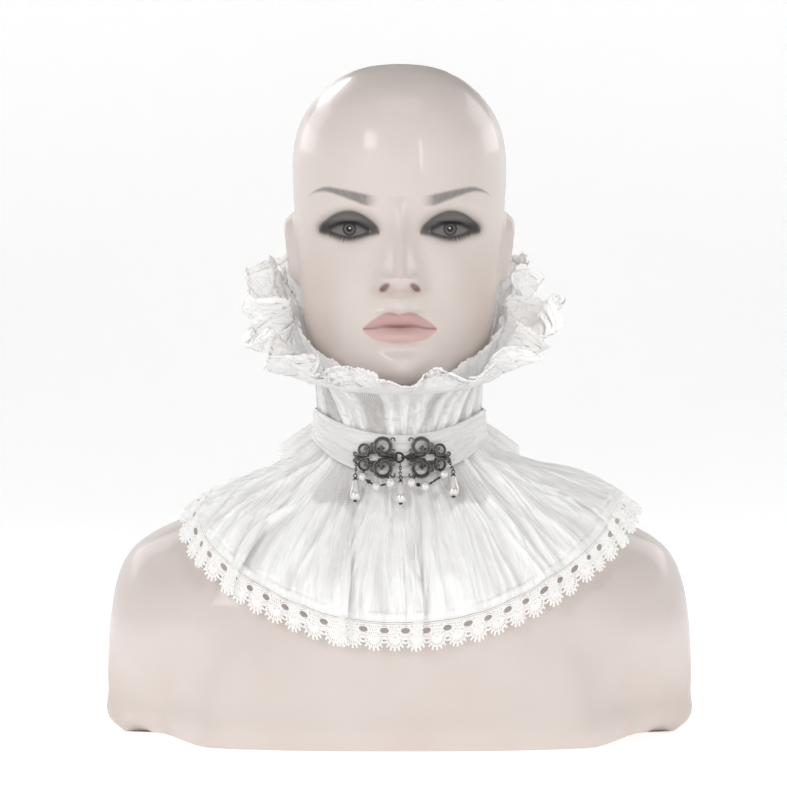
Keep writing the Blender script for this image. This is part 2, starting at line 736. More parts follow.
def satin_chiffon():
    """Crinkled satin chiffon: fine creases down the cloth, a net layer where it is marked, and a stitched
    hem."""
    material, tree, shader = tree_of("satin_chiffon")
    cloth, net, fold = cloth_inputs(tree)
    streak = stretched_noise(tree, cloth, (620, 36, 1), 1.0, 4.0)
    patch = stretched_noise(tree, cloth, (90, 22, 1), 1.0, 3.0)
    weave = stretched_noise(tree, cloth, (3200, 2400, 1), 1.0, 1.0)
    threads = net_threads(tree, cloth, 420, 1.2)
    pressed = crease_lines(tree, cloth, (330, 15, 1), 0.030)
    white = tinted(tree, (0.93, 0.93, 0.92), [
        (streak, 0.35, (0.80, 0.79, 0.78)),
        (patch, 0.22, (0.84, 0.83, 0.82)),
        (fold, 0.50, (0.56, 0.53, 0.52)),
        (pressed, 0.30, (0.56, 0.54, 0.53)),
    ])
    grey = mix_colour(tree, threads, (0.50, 0.47, 0.46), (0.78, 0.77, 0.76))
    tree.links.new(mix_colour(tree, net, white, grey), shader.inputs["Base Color"])
    tree.links.new(ranged(tree, patch, 0.18, 0.52, 0.3, 0.7), shader.inputs["Roughness"])
    set_inputs(shader, {
        "Emission Color": (1.0, 0.99, 0.985, 1),
        "Emission Strength": 0.045,
        "Sheen Weight": 0.15,
        "Sheen Roughness": 0.4,
        "Specular IOR Level": 0.90,
    })
    bumps(tree, shader, [
        (streak, 0.75, 0.0014),
        (pressed, -0.5, 0.0008),
        (threads, 0.10, 0.0004),
        (weave, 0.18, 0.0003),
    ])
    return material


def sheer_chiffon(name, white_share, through, glow):
    """Sheer chiffon over net: white where the cloth is doubled, greyish net where it is marked. Light
    goes through it by a share, and a faint glow stands for the light from behind."""
    material, tree, shader = tree_of(name)
    cloth, net, fold = cloth_inputs(tree)
    streak = stretched_noise(tree, cloth, (520, 60, 1), 1.0, 4.0)
    weave = stretched_noise(tree, cloth, (2600, 2600, 1), 1.0, 1.0)
    threads = net_threads(tree, cloth, 480, 0.6)
    pressed = crease_lines(tree, cloth, (210, 120, 1), 0.035)
    white = tinted(tree, (0.88 * white_share, 0.875 * white_share, 0.87 * white_share), [
        (streak, 0.40, (0.74, 0.72, 0.71)),
        (pressed, 0.16, (0.62, 0.60, 0.59)),
        (fold, 0.70, (0.58, 0.55, 0.54)),
    ])
    grey = mix_colour(tree, threads, (0.40, 0.37, 0.36), (0.70, 0.68, 0.67))
    tree.links.new(mix_colour(tree, net, white, grey), shader.inputs["Base Color"])
    set_inputs(shader, {
        "Subsurface Weight": through,
        "Subsurface Scale": 0.004,
        "Subsurface Radius": (1.0, 0.96, 0.92),
        "Emission Color": (1.0, 0.99, 0.985, 1),
        "Emission Strength": glow,
        "Roughness": 0.62,
        "Sheen Weight": 0.3,
        "Sheen Roughness": 0.5,
    })
    bumps(tree, shader, [
        (streak, 0.5, 0.0009),
        (pressed, 0.6, 0.0009),
        (threads, 0.2, 0.0004),
        (weave, 0.2, 0.0003),
    ])
    return material


def edge_lace():
    """The ruff's narrow lace: cotton with rows of small pinholes, worked out on its own map of
    repeats."""
    material, tree, shader = tree_of("edge_lace")
    cloth = node(tree, "ShaderNodeUVMap", {"uv_map": "cloth"}).outputs[0]
    spread = node(tree, "ShaderNodeMapping", {}, {"Vector": cloth, "Scale": (6, 4, 1)}).outputs[0]
    cells = node(tree, "ShaderNodeTexVoronoi", {}, {"Vector": spread, "Scale": 1.0, "Randomness": 0.35})
    holes = ranged(tree, cells.outputs[0], 0.0, 1.0, 0.16, 0.30)
    white = mix_colour(tree, holes, (0.74, 0.72, 0.70), (0.95, 0.945, 0.935))
    tree.links.new(white, shader.inputs["Base Color"])
    set_inputs(shader, {
        "Emission Color": (1.0, 0.99, 0.98, 1),
        "Emission Strength": 0.08,
        "Roughness": 0.85,
        "Sheen Weight": 0.2,
    })
    bumps(tree, shader, [(holes, 0.35, 0.0004)])
    return material


def lace_cotton():
    """Matte twisted cotton thread. Its glow stands for the light that passes through the openwork."""
    material, tree, shader = tree_of("lace_cotton")
    twist = even_noise(tree, 1600.0, 2.0)
    white = mix_colour(tree, twist, (0.74, 0.735, 0.725), (0.64, 0.63, 0.615))
    tree.links.new(white, shader.inputs["Base Color"])
    set_inputs(shader, {
        "Emission Color": (1.0, 0.98, 0.965, 1),
        "Emission Strength": 0.30,
        "Roughness": 0.85,
        "Sheen Weight": 0.2,
    })
    bumps(tree, shader, [(twist, 0.5, 0.0003)])
    return material


def gunmetal(name, low, high):
    """Blackened cast metal, between two greys."""
    material, tree, shader = tree_of(name)
    cloud = even_noise(tree, 420.0, 5.0)
    grey = mix_colour(tree, cloud, (low, 0.93 * low, 0.92 * low), (high, 0.95 * high, 0.94 * high))
    tree.links.new(grey, shader.inputs["Base Color"])
    tree.links.new(ranged(tree, cloud, 0.22, 0.46), shader.inputs["Roughness"])
    set_inputs(shader, {"Metallic": 0.9})
    bumps(tree, shader, [(even_noise(tree, 2600.0, 2.0), 0.35, 0.0002)])
    return material


def pearl_lustre():
    """Cream pearl: a soft mirror under a clear hard coat."""
    material, tree, shader = tree_of("pearl_lustre")
    cloud = even_noise(tree, 300.0, 3.0)
    cream = mix_colour(tree, cloud, (0.80, 0.78, 0.765), (0.66, 0.62, 0.60))
    tree.links.new(cream, shader.inputs["Base Color"])
    set_inputs(shader, {
        "Metallic": 0.35,
        "Roughness": 0.24,
        "Coat IOR": 1.9,
        "Coat Weight": 1.0,
        "Coat Roughness": 0.06,
    })
    return material


LACQUER = lacquer()
CHIFFON = satin_chiffon()
NECK_CLOTH = sheer_chiffon("neck_chiffon", white_share=1.03, through=0.0, glow=0.01)
RUFF_CLOTH = sheer_chiffon("ruff_chiffon", white_share=1.06, through=0.4, glow=0.11)
COTTON = lace_cotton()
EDGE_LACE = edge_lace()
METAL = gunmetal("gunmetal", 0.022, 0.105)
RUBBED = gunmetal("rubbed_gunmetal", 0.15, 0.34)
PEARL = pearl_lustre()


def bust_form(turn, z):
    """The bust's sections, moved along Y by the face's relief (the sum of its bells) and the folds in
    front of the arms, and along X by the ears."""
    p = around(turn, skin(turn, z), z)
    x, side = p[..., 0].copy(), np.abs(p[..., 0])
    front = ease(-np.sin(turn) * 3)
    height, half_width, reach = np.array(NOSE).T
    relief = np.interp(z, height, reach) * hump(side, 0, np.interp(z, height, half_width))
    for away, up, spread, spread_up, rise in FACE:
        bells = hump(side, away, spread) if away else hump(x, 0, spread)
        relief = relief + rise * bells * hump(z, up, spread_up)
    p[..., 1] -= front * relief
    away_from_ear = np.hypot((p[..., 1] - EAR_MIDDLE[0]) / EAR_HALF[0], (z - EAR_MIDDLE[1]) / EAR_HALF[1])
    ear = EAR_RELIEF * ease((1 - away_from_ear) * 2.6) - 0.0050 * hump(away_from_ear, 0.25, 0.28)
    p[..., 0] += np.sign(x) * ear
    fold = ARM_FOLD[0] + ARM_FOLD_LEAN * (ARM_FOLD[1] - z)
    crease = hump(side, fold, ARM_FOLD_WIDTH) * ease((0.090 - z) / 0.04)
    arm = ease((0.088 - z) / 0.07) * ease((side - fold + 0.008) / 0.034)
    p[..., 1] += front * (ARM_FOLD_DEPTH * crease + ARM_SET_BACK * arm)
    return p


def nose_paint(side, z):
    """A warm shade under the nose, and the two slanted nostrils."""
    slant = (z - 0.3056) - 0.35 * (0.0102 - side)
    return [
        (0.55 * hump(side, 0.0105, 0.008) * hump(z, 0.3040, 0.0040), UNDER_NOSE),
        (ease(1.8 * (1 - np.hypot((side - 0.0102) / 0.0046, slant / 0.0030))), NOSTRIL),
    ]


def lip_paint(x, side, z):
    """The lips, above and below a waved middle line. Each ends at its own curve, and the line is dark."""
    across = np.clip(side / LIP_HALF, 0, 1)
    upper = 0.0104 * (1 - across**2.0) ** 0.75 * (1 - 0.16 * hump(x, 0, 0.0042))
    lower = 0.0118 * (1 - across**2.4) ** 0.80
    up = z - (LIPS_MIDDLE - 0.0012 * (1 - hump(side, 0, 0.012)) + 0.0010 * hump(side, 0.010, 0.006))
    inside = side < LIP_HALF
    return [
        (ease((upper - up) / 0.0010) * ease((up + 0.0002) / 0.0006) * inside, UPPER_LIP),
        (ease((lower + up) / 0.0010) * ease((0.0002 - up) / 0.0006) * inside, LOWER_LIP),
        (0.8 * hump(up, 0, 0.0007) * (side < LIP_HALF - 0.0004), LIP_LINE),
        (0.75 * hump(up, 0.0003, 0.0012) * hump(x, 0, 0.0105), LIP_MIDDLE),
    ]


def eye_paint(side, z):
    """The eye, about its own middle: shade round it, a dark lid up to the crease, the open eye with its
    iris, pupil and glint, the lash lines, and lower lashes as the teeth of a fast wave."""
    ex = side - EYE[0]
    ez = z - EYE[1] - 0.08 * ex
    out = np.abs(ex)
    wide = np.clip(out / EYE_HALF[0], 0, 1)
    lid = EYE_HALF[1] * (1 - wide**2)
    far = np.clip(out / 0.0205, 0, 1)
    crease = 0.0112 * (1 - far**2) + 0.0006
    inside = ease((lid * 0.92 - np.abs(ez)) / 0.0006)
    iris = np.hypot(ex + 0.0003, ez - 0.0008)
    glint = np.hypot(ex + 0.0006, ez - 0.0014)
    comb = 0.5 + 0.5 * np.sin(ex * 3300 + 1.8 * np.sin(ex * 700) + ez * 700)
    reach = 0.0066 * (0.55 + 0.45 * ease((ex + 0.010) / 0.016))
    below = ease((-ez - lid * 0.8) / 0.0005) * ease((reach + lid * 0.8 + ez) / 0.0045)
    lashes = comb * below * (wide < 0.97)
    upper = ease((crease - ez) / 0.0016) * ease((ez + 0.0075 - 0.004 * far) / 0.0030)
    return [
        (0.70 * ease(1.5 * (1 - np.hypot(ex / 0.0260, (ez - 0.0030) / 0.0150))), LID_SHADE),
        (0.90 * upper * (far < 0.999), LID),
        (0.60 * hump(ez, 0.0082, 0.0020) * hump(ex, 0.001, 0.011), LID_LIGHT),
        (0.85 * hump(ez, crease, 0.0014) * ease((0.0220 - out) / 0.004), LASH),
        (0.70 * hump(out, 0.0155, 0.0042) * hump(ez, 0.0015, 0.0040), LASH),
        (0.95 * hump(ex, 0.0165, 0.0050) * hump(ez, 0.0005, 0.0042), OUTER_LASH),
        (0.60 * hump(ez, -lid - 0.0012, 0.0020) * ease((0.0175 - out) / 0.006), UNDER_LID),
        (inside, EYE_WHITE),
        (inside * ease((IRIS - iris) / 0.0006), LINER),
        (inside * ease((IRIS - 0.0009 - iris) / 0.0012), IRIS_GREY),
        (inside * ease((0.0025 - iris) / 0.0006), PUPIL),
        (inside * ease((0.0009 - glint) / 0.0006), GLINT),
        (0.7 * hump(side, EYE[0] - EYE_HALF[0], 0.0010) * hump(ez, -0.0004, 0.0008), EYE_CORNER),
        (hump(ez, lid + 0.0004, 0.0017 + 0.0008 * wide) * (wide < 0.995), LINER),
        (0.85 * hump(ez, -lid, 0.0009) * (wide < 0.995), LOWER_LINE),
        (0.90 * lashes, LASH),
    ]


def brow_paint(side, z):
    """The brow, along the table's curve: hairs as slanting speckles, thinner towards the nose."""
    brow_z, brow_half = smooth(side, BROW, 1), smooth(side, BROW, 2)
    hairs = 0.80 + 0.20 * speckle(side * 1500 - z * 900, z * 300, 71)
    hairs = hairs - 0.55 * ease((0.0245 - side) / 0.006) * (0.5 + 0.5 * np.sin(side * 3600 + z * 1500))
    fade = ease((side - 0.0128) / 0.011) * ease((0.0655 - side) / 0.006)
    return [(0.90 * hairs * fade * ease((brow_half * 1.3 - np.abs(z - brow_z)) / 0.0022), BROW_GREY)]


def face_paint(p, turn):
    """The colour of each point of the bust: plain lacquer, warmer to the face's sides, then each layer of
    paint, mixed in by the share that its own outline gives, in front only."""
    x, z = p[..., 0], p[..., 2]
    side = np.abs(x)
    front = ease(-np.sin(turn) * 4 - 0.6)
    warm = ease((z - 0.240) / 0.02) * ease((side - 0.030) / 0.035) * ease((0.36 - z) / 0.05)
    ear_hole = np.hypot(p[..., 1] - EAR_MIDDLE[0] + 0.004, z - 0.3085)
    layers = [(0.75 * warm, WARM_SHADE), *nose_paint(side, z), *lip_paint(x, side, z), *eye_paint(side, z)]
    layers += [*brow_paint(side, z), (3 * ease((0.0009 - ear_hole) / 0.0005), EAR_DARK)]
    colour = np.ones(x.shape + (3,)) * SKIN
    for share, tint in layers:
        colour = colour + (np.array(tint) - colour) * np.clip(share * front, 0, 1)[..., None]
    return colour


def make_bust(name, columns, heights, crown=None):
    """A stretch of the bust: its form at steps round that are closer together in front. Each end ring is
    drawn in to one middle point, by quads over two of the ring's edges."""
    step = circle(columns)
    turns = FRONT + step - 0.85 * np.sin(step) + 0.125 * np.sin(2 * step)
    turn, z = grid(turns, heights)
    points = bust_form(turn, z)
    colour = face_paint(points, turn).reshape(-1, 3)
    flat = points.reshape(-1, 3)
    low = np.arange(columns) * len(heights)
    top = low + len(heights) - 1
    poles = [flat[top].mean(axis=0) if crown is None else crown, flat[low].mean(axis=0)]
    pairs = np.arange(0, columns, 2)
    after, two = (pairs + 1) % columns, (pairs + 2) % columns
    caps = [
        np.stack([ring[a], ring[after], ring[b], np.full(len(pairs), len(flat) + k)], axis=1)
        for k, (ring, a, b) in enumerate(((top, pairs, two), (low, two, pairs)))
    ]
    sides = grid_quads(columns, len(heights), True)[:, ::-1]
    obj = new_object(name, np.vstack([flat, *poles]), np.vstack([sides, *caps]), LACQUER)
    obj.data.set_sharp_from_angle(angle=math.radians(60))
    colour = np.vstack([colour, SKIN, SKIN])
    layer = obj.data.attributes.new("paint", "FLOAT_COLOR", "POINT")
    layer.data.foreach_set("color", np.c_[colour, np.ones(len(colour))].astype(np.float32).ravel())
    stand_for(obj, "bust", "bust")


def neck_lines(turn, share):
    """The direction a neck pleat started from above: pleats lean in to the front as they go down."""
    away = np.radians(from_front_signed(turn))
    return FRONT + away * (1 + 0.85 * share * hump(away, 0, 0.9))


def neck_surface(turn, share):
    """The neck tube: lift above the skin is a few wide pleats and many fine creases along their lines.
    Returned with the height of the creases, 0 to 1."""
    z0 = seam(RUFF_SEAM, turn) + 0.0010
    z1 = (seam(BELT_TOP, turn) + seam(BELT_BOTTOM, turn)) / 2
    start = neck_lines(turn, share)
    pleat = np.sin(uneven(start, NECK_PLEATS, 2.6))
    fine = creases(start, share * 0.05, 96, 0.05, 11, 0.6)
    fine = fine + 0.5 * creases(start, share * 0.05, 180, 0.03, 12, 0.6)
    lift = UNDER_LIFT - 0.0006 + (0.0010 * pleat + 0.0011 * fine) * ease((1.15 - share) / 0.5)
    return on_neck(turn, z0 + (z1 - z0) * share, lift), 0.35 * pleat + 0.5 * fine


def make_neck():
    """The gathered sheer tube between the ruff and the belt."""
    columns, rows = 480, 22
    turn, share = grid(circle(columns, FRONT), np.linspace(0, 1, rows))
    points, height = neck_surface(turn, share)
    obj = new_object("neck_gathers", points, grid_quads(columns, rows, True), NECK_CLOTH)
    start = neck_lines(turn, share)
    lay_map(obj, columns, rows, start * 0.06, share * 0.04, True)
    zones = speckle(place_round(start, 44), share * 0.5, 31, 44)
    mark(obj, net=0.9 * ease((zones - 0.50) * 9), fold=np.clip(0.75 - height, 0, 1))
    shell(obj)
    stand_for(obj, "sheer", "neck")


def make_belt():
    """The band: a cloth laid in horizontal tucks that drift and run into each other, its edges turned
    in."""
    columns, rows = 360, 30
    turn, share = grid(circle(columns, NAPE), np.linspace(0, 1, rows))
    place = place_round(turn, 12)
    drift = 1.5 * speckle(place, share * 0, 41, 12) + 0.5 * speckle(2 * place, share * 2, 42, 24)
    tuck = (share * BELT_TUCKS + drift) % 1.0
    ledge = tuck**1.6 * ease((1 - tuck) / 0.16)
    fine = creases(share * 5.2 + 0.3 * drift, turn * 0.03, 64, 0.05, 43, 0.4)
    edge = np.minimum(share, 1 - share)
    lift = BELT_LIFT + 0.0010 * ledge + 0.0004 * fine - 0.0014 * (1 - ease(edge / 0.05))
    top, low = seam(BELT_TOP, turn), seam(BELT_BOTTOM, turn)
    points = on_neck(turn, top + (low - top) * share, lift)
    obj = new_object("belt_band", points, grid_quads(columns, rows, True), CHIFFON)
    lay_map(obj, columns, rows, share * 0.028, turn * 0.065, True)
    between = ease((0.10 - ledge) / 0.10) * ease(edge / 0.04)
    mark(obj, net=np.zeros(turn.shape), fold=1.15 + 0.35 * between)
    shell(obj, BAND_SHELL)
    stand_for(obj, "cloth", "belt")


def folded(turn, share):
    """The large folds. Near an edge, with s the way past it in half widths, the direction becomes edge +
    half width times s (1 - B exp(-s squared)), so that the upper layer hangs over the lower one. Returned
    with the height that the fold adds."""
    laid, rise = turn.copy(), np.zeros_like(turn)
    grown = ease(share * 1.5 - 0.35) * 2.3
    for edge, height, width in CAPE_FOLDS:
        way = math.copysign(1, width)
        away = (np.degrees(turn) - edge + 180) % 360 - 180
        s = away * way / FOLD_HALF
        laid = laid - np.radians(FOLD_HALF) * way * grown * s * np.exp(-s * s)
        rise = rise + height * share**1.2 * ease(1 + away / width) * (1 - ease((s + 0.45) / 0.9))
    return laid, rise


def crumple(turn, down, length):
    """The cape's creases: long wavy ridges, where noise that is stretched down the cloth crosses its
    middle, at the table's three widths, and soft bends across them. Pressed flat in the hem's band, and
    smaller at the belt. Returned with how far each point is in that band."""
    warp = 0.035 * (speckle(place_round(turn, 26), down * 34, 50, 26) - 0.5)
    height = 0.0012 * (speckle(place_round(turn, 64), down * 95, 53, 64) - 0.5)
    for count, long, seed, sway, sharp, rise, level in CAPE_CREASES:
        height = height + rise * (creases(turn + warp, down, count, long, seed, sway) ** sharp - level)
    band = ease((down - length + HEM) / 0.0016)
    return height * (0.42 + 0.58 * ease(down / 0.035)) * (1 - 0.60 * band), band


def cape_surface(turn, down, under=0.0):
    """The cape: lift = the stand-off that grows to the hem + the pleats + the large folds + creases, with
    a stitched groove along the hem's turned band."""
    turn, down = np.broadcast_arrays(np.asarray(turn, float), np.asarray(down, float))
    away = from_front_signed(turn)
    length = smooth(away, CAPE, 1)
    share = np.clip(down / length, 0, 1.15)
    laid, fold = folded(turn, np.clip(share, 0, 1))
    pleat = 0.5 + 0.5 * np.sin(uneven(turn, CAPE_PLEATS, 1.3))
    height, band = crumple(turn, np.minimum(down, length), length)
    groove = hump(down, length - HEM, 0.0007) + 0.5 * hump(down, length - 0.0010, 0.0006)
    lift = UNDER_LIFT + (smooth(away, CAPE, 2) - UNDER_LIFT) * ease(share) - PLEAT_AT_BELT
    lift = lift + (PLEAT_AT_BELT + PLEAT_GROWTH * share) * pleat + fold + height
    lift = lift + 0.0006 * band - 0.0008 * groove
    return drape(laid, down, np.maximum(lift, 0.0012) - under)


def make_cape(side, first_turn):
    """Half the cape, from behind the belt to its hem. Both halves end on the same line."""
    columns, rows = 520, 60
    turns = first_turn + np.linspace(0, math.pi, columns)
    upper = np.linspace(0, 0.94, rows - HEM_ROWS, endpoint=False)
    turn, share = grid(turns, np.concatenate([upper, np.linspace(0.94, 1, HEM_ROWS)]))
    away = from_front_signed(turn)
    length = smooth(away, CAPE, 1)
    down = -BEHIND_BELT + (length + BEHIND_BELT) * share
    obj = new_object("cape_cloth_" + side, cape_surface(turn, down), grid_quads(columns, rows), CHIFFON)
    lay_map(obj, columns, rows, turn * 0.12, down)
    edge = 0.040 + 0.004 * np.sin(turn * 19)
    zones = speckle(place_round(turn, 40), down * 9, 57, 40)
    net = ease((edge - down) / 0.004) * ease((70 - np.abs(away)) / 14) * ease((zones - 0.30) * 3)
    height, band = crumple(turn, down, length)
    mark(obj, net=0.85 * net, fold=np.clip(0.50 - height / 0.0030, 0, 1) * (1 - band))
    shell(obj)
    stand_for(obj, "cloth", "cape_" + side)
    return obj


def normals_of(surface, a, b, step_a, step_b):
    """Outward normals of a surface of two parameters, from two short steps on it."""
    here = surface(a, b)
    return unit(np.cross(surface(a, b + step_b) - here, surface(a + step_a, b) - here))


def straight(first, last):
    """Even points along a straight thread between two ends, in the lace's flat coordinates."""
    return np.linspace(first, last, LACE_POINTS)


def fan_points(lean, reach):
    """Points about a fan's middle, at a lean from straight down and a distance."""
    return np.stack([reach * np.sin(lean) / LACE_REPEAT, FAN_MIDDLE + reach * np.cos(lean)], axis=1)


def lace_repeat():
    """One repeat of the hem lace, as flat threads: share of a repeat across, metres down. A fan is
    centred on 0 and half an eyelet lies at each end. A fan is close rays about its middle, then its picot
    bars, whose tips lie on a shallower curve to the sides. Returned with each thread's radius."""
    threads = [straight((-0.5, down), (0.5, down)) for down in LACE_HEADER]
    arc = np.linspace(0, math.pi, LACE_POINTS)
    for grow in (0.0000, 0.0010):
        for half in (0, math.pi):
            threads.append(np.stack([
                0.5 + (EYELET_HALF[0] + grow) / LACE_REPEAT * np.cos(arc + half),
                EYELET_MIDDLE + (EYELET_HALF[1] + grow) * np.sin(arc + half)], axis=1))
    for u in (-0.20, -0.10, 0.0, 0.10, 0.20):
        threads.append(straight((u - 0.10, 0.0020), (u + 0.10, 0.0090)))
        threads.append(straight((u + 0.10, 0.0020), (u - 0.10, 0.0090)))
    across = np.linspace(-0.5, 0.5, LACE_POINTS)
    for down in (0.0088, 0.0098):
        threads.append(np.stack([across, down + 0.0004 * np.cos(across * TWO_PI)], axis=1))
    for lean in np.radians(np.linspace(-84, 84, 13)):
        threads.append(fan_points(lean, straight(0.0008, 0.0069 - 0.0012 * abs(math.sin(lean)) ** 3)))
    sweep = np.radians(np.linspace(-82, 82, LACE_POINTS))
    for reach in (0.0044, 0.0068):
        threads.append(fan_points(sweep, reach - 0.0012 * np.abs(np.sin(sweep)) ** 3))
    for lean in np.radians(np.linspace(-80, 80, PICOTS)):
        side = abs(math.sin(lean)) ** 3
        threads.append(fan_points(lean, straight(0.0064 - 0.0012 * side, 0.0090 - 0.0019 * side)))
    thick = np.full(len(threads), LACE_THREAD)
    thick[-PICOTS:] = PICOT_THREAD
    return np.array(threads), thick


def make_hem_lace(side, first_turn):
    """Half the eyelet lace below the hem: its threads laid on the cape's own surface, a little lower,
    with even repeats along the hem's own length, through its folds too. Every thread is lifted a little
    by a wave, so that crossing threads lie over each other."""
    samples = 1200
    turns = first_turn + np.linspace(-0.1, math.pi + 0.1, samples)
    hem = drape(folded(turns, np.ones(samples))[0], smooth(from_front_signed(turns), CAPE, 1), LACE_LIFT)
    run = np.concatenate([[0], np.cumsum(np.linalg.norm(np.diff(hem, axis=0), axis=1))])
    start, end = np.interp((first_turn, first_turn + math.pi), turns, run)
    repeats = int(round((end - start) / LACE_REPEAT))
    pattern, thick = lace_repeat()
    place = pattern[None, :, :, 0] + 0.5 + np.arange(repeats)[:, None, None]
    turn = np.interp(start + place / repeats * (end - start), run, turns)
    down = np.broadcast_to(pattern[None, :, :, 1], turn.shape)

    def surface(a, b):
        return cape_surface(a, smooth(from_front_signed(a), CAPE, 1) + b, LACE_UNDER + LACE_SINK * b)

    turn, down = turn.reshape(-1, LACE_POINTS), down.reshape(-1, LACE_POINTS)
    up = normals_of(surface, turn, down, 0.004, 0.0008)
    lift = 0.00022 * np.sin(np.arange(len(turn)) * 2.4)[:, None, None]
    thick = np.tile(thick, repeats)[:, None]
    obj = tubes("hem_lace_" + side, surface(turn, down) + up * lift, thick, up, COTTON)
    stand_for(obj, "lace", "lace_" + side)
    return obj


def ruff_surface(turn, share):
    """The ruff from its seam (share 0) to its edge (1). Its reach and height follow the edge's table,
    with waves in and out, a sideways shift at twice the wave's rate that rounds the lobes, smaller lobes
    on them, and crumples that run out from the seam and along the edge. It is kept outside the skin by
    the root of a square, which bends it away smoothly."""
    turn, share = np.broadcast_arrays(np.asarray(turn, float), np.asarray(share, float))
    away = np.abs(from_front_signed(turn))
    z0 = seam(RUFF_SEAM, turn)
    r0 = skin(turn, z0) + UNDER_LIFT
    phase = uneven(turn, RUFF_WAVES, 0.4)
    small = np.sin(uneven(turn, RUFF_WAVES * 2, 2.2))
    lobe = np.sin(uneven(turn, 41, 0.9) + 1.2 * share)
    swing = share**1.4
    place = place_round(turn, 45)
    lumps = speckle(place, share * 3.1, 61, 45) - 0.5
    dents = speckle(place * 2, share * 6.0, 62, 90) - 0.5
    lifts = speckle(place + 7, share * 3.0, 64, 45) - 0.5
    shifts = speckle(place, share * 2, 65, 45) - 0.5
    warp = 0.05 * (speckle(place, share * 4.0, 67, 45) - 0.5)
    gather = creases(turn + warp, share * 0.06, 152, 0.040, 63, 1.6) ** 1.5 - 0.3
    drift = 0.35 * np.sin(phase) + 6 * warp
    along = creases(share * 4.6 + drift, turn * 0.05, 64, 0.030, 68, 1.2) ** 1.5 - 0.3
    r = r0 + (smooth(away, RUFF_EDGE, 1) - r0) * share**0.9
    z = z0 + (smooth(away, RUFF_EDGE, 2) - z0) * share**1.1
    r = r + swing * smooth(away, RUFF_EDGE, 3) * (0.80 * np.sin(phase) + 0.40 * small + 0.34 * lobe)
    z = z - swing * smooth(away, RUFF_EDGE, 4) * (np.sin(uneven(turn, RUFF_WAVES, 1.6)) + 0.45 * lobe)
    lively = np.minimum(share * 1.6, 1.0) * np.interp(away, (0, 30, 60), (0.55, 0.9, 1.0))
    r = r + lively * (0.0068 * lumps + 0.0056 * dents + 0.0030 * along) + 0.0038 * gather * ease(share * 2.5)
    z = z + lively * (0.0056 * lifts + 0.0012 * along)
    side = turn + 0.040 * swing * np.sin(2 * phase + 0.6) + 0.06 * lively * shifts
    clear = skin(side, z) + UNDER_LIFT
    over = r - clear
    return around(side, clear + 0.5 * (over + np.sqrt(over**2 + 0.0025**2 * share)), z)


def make_ruff():
    """The ruff, one gathered strip from the seam to its edge, listed from the edge in."""
    columns, rows = 960, 44
    turn, share = grid(circle(columns, NAPE), np.linspace(RUFF_HEM, 0.012, rows))
    obj = new_object("ruff_cloth", ruff_surface(turn, share), grid_quads(columns, rows, True), RUFF_CLOTH)
    lay_map(obj, columns, rows, turn * 0.16, share * 0.08, True)
    zones = speckle(place_round(turn, 50), share * 3, 66, 50)
    net = 0.30 * ease((zones - 0.55) * 4) * ease((0.9 - share) * 3)
    mark(obj, net=net, fold=0.45 * ease((0.5 - share) / 0.5))
    shell(obj)
    stand_for(obj, "sheer", "ruff_left", "ruff_right")
    return obj


def scallops(place, picots):
    """Scallops, one a unit of place, each the square root of a half wave from 0 to 1, and the small
    picots that a faster wave sets on them."""
    scallop = np.abs(np.sin(math.pi * place)) ** 0.5
    return scallop, np.abs(np.sin(picots * math.pi * place)) ** 0.7 * scallop


def make_ruff_lace():
    """The narrow lace sewn to the ruff's edge: a band that ends in scallops with four small picots
    each."""
    columns, rows = RUFF_LACE_REPEATS * RUFF_LACE_STEPS, 5
    place, across = grid(np.arange(columns) / RUFF_LACE_STEPS, np.linspace(1, 0, rows))
    scallop, picot = scallops(place, 4)
    turn = NAPE + place / RUFF_LACE_REPEATS * TWO_PI
    share = RUFF_HEM - 0.010 + (0.020 + 0.036 * scallop + 0.015 * picot) * across
    up = normals_of(ruff_surface, turn, share, 0.003, 0.01)
    points = ruff_surface(turn, share) + up * 0.0001
    obj = new_object("ruff_edge_lace", points, grid_quads(columns, rows, True), EDGE_LACE)
    lay_map(obj, columns, rows, place, across, True)
    shell(obj, BAND_SHELL)
    stand_for(obj, "lace", "ruff_lace_left", "ruff_lace_right")
    return obj


def make_ruff_fold():
    """The part of the ruff that folds up in front of the jaw: a strip close on the skin from the seam to
    its own edge, which waves and ends in scallops with small picots. Gathers cross it."""
    columns, rows = JAW_FOLD_SCALLOPS * 12 + 1, 12
    place, share = grid(np.linspace(0, JAW_FOLD_SCALLOPS, columns), np.linspace(1, 0, rows))
    away = JAW_FOLD_REACH * (2 * place / JAW_FOLD_SCALLOPS - 1)
    turn = FRONT + np.radians(away)
    scallop, picot = scallops(place, 3)
    wave = np.sin(uneven(turn, 17, 0.8))
    gather = creases(turn, share * 0.03, 152, 0.040, 73, 1.4)
    top = smooth(np.abs(away), JAW_FOLD, 1) + 0.0013 * scallop + 0.0005 * picot
    low = seam(RUFF_SEAM, turn) + 0.0005
    z = low + (top - low + 0.0012 * wave) * share
    lift = UNDER_LIFT - 0.0010 + (0.0026 + 0.0016 * wave + 0.0026 * (gather - 0.4)) * share**0.7
    obj = new_object("ruff_jaw_fold", on_neck(turn, z, lift), grid_quads(columns, rows), RUFF_CLOTH)
    lay_map(obj, columns, rows, turn * 0.08, share * 0.03)
    mark(obj, net=np.zeros(turn.shape), fold=0.5 * np.clip(0.6 - gather, 0, 1))
    shell(obj, BAND_SHELL)
    stand_for(obj, "sheer", "ruff_left", "ruff_right")
    return obj


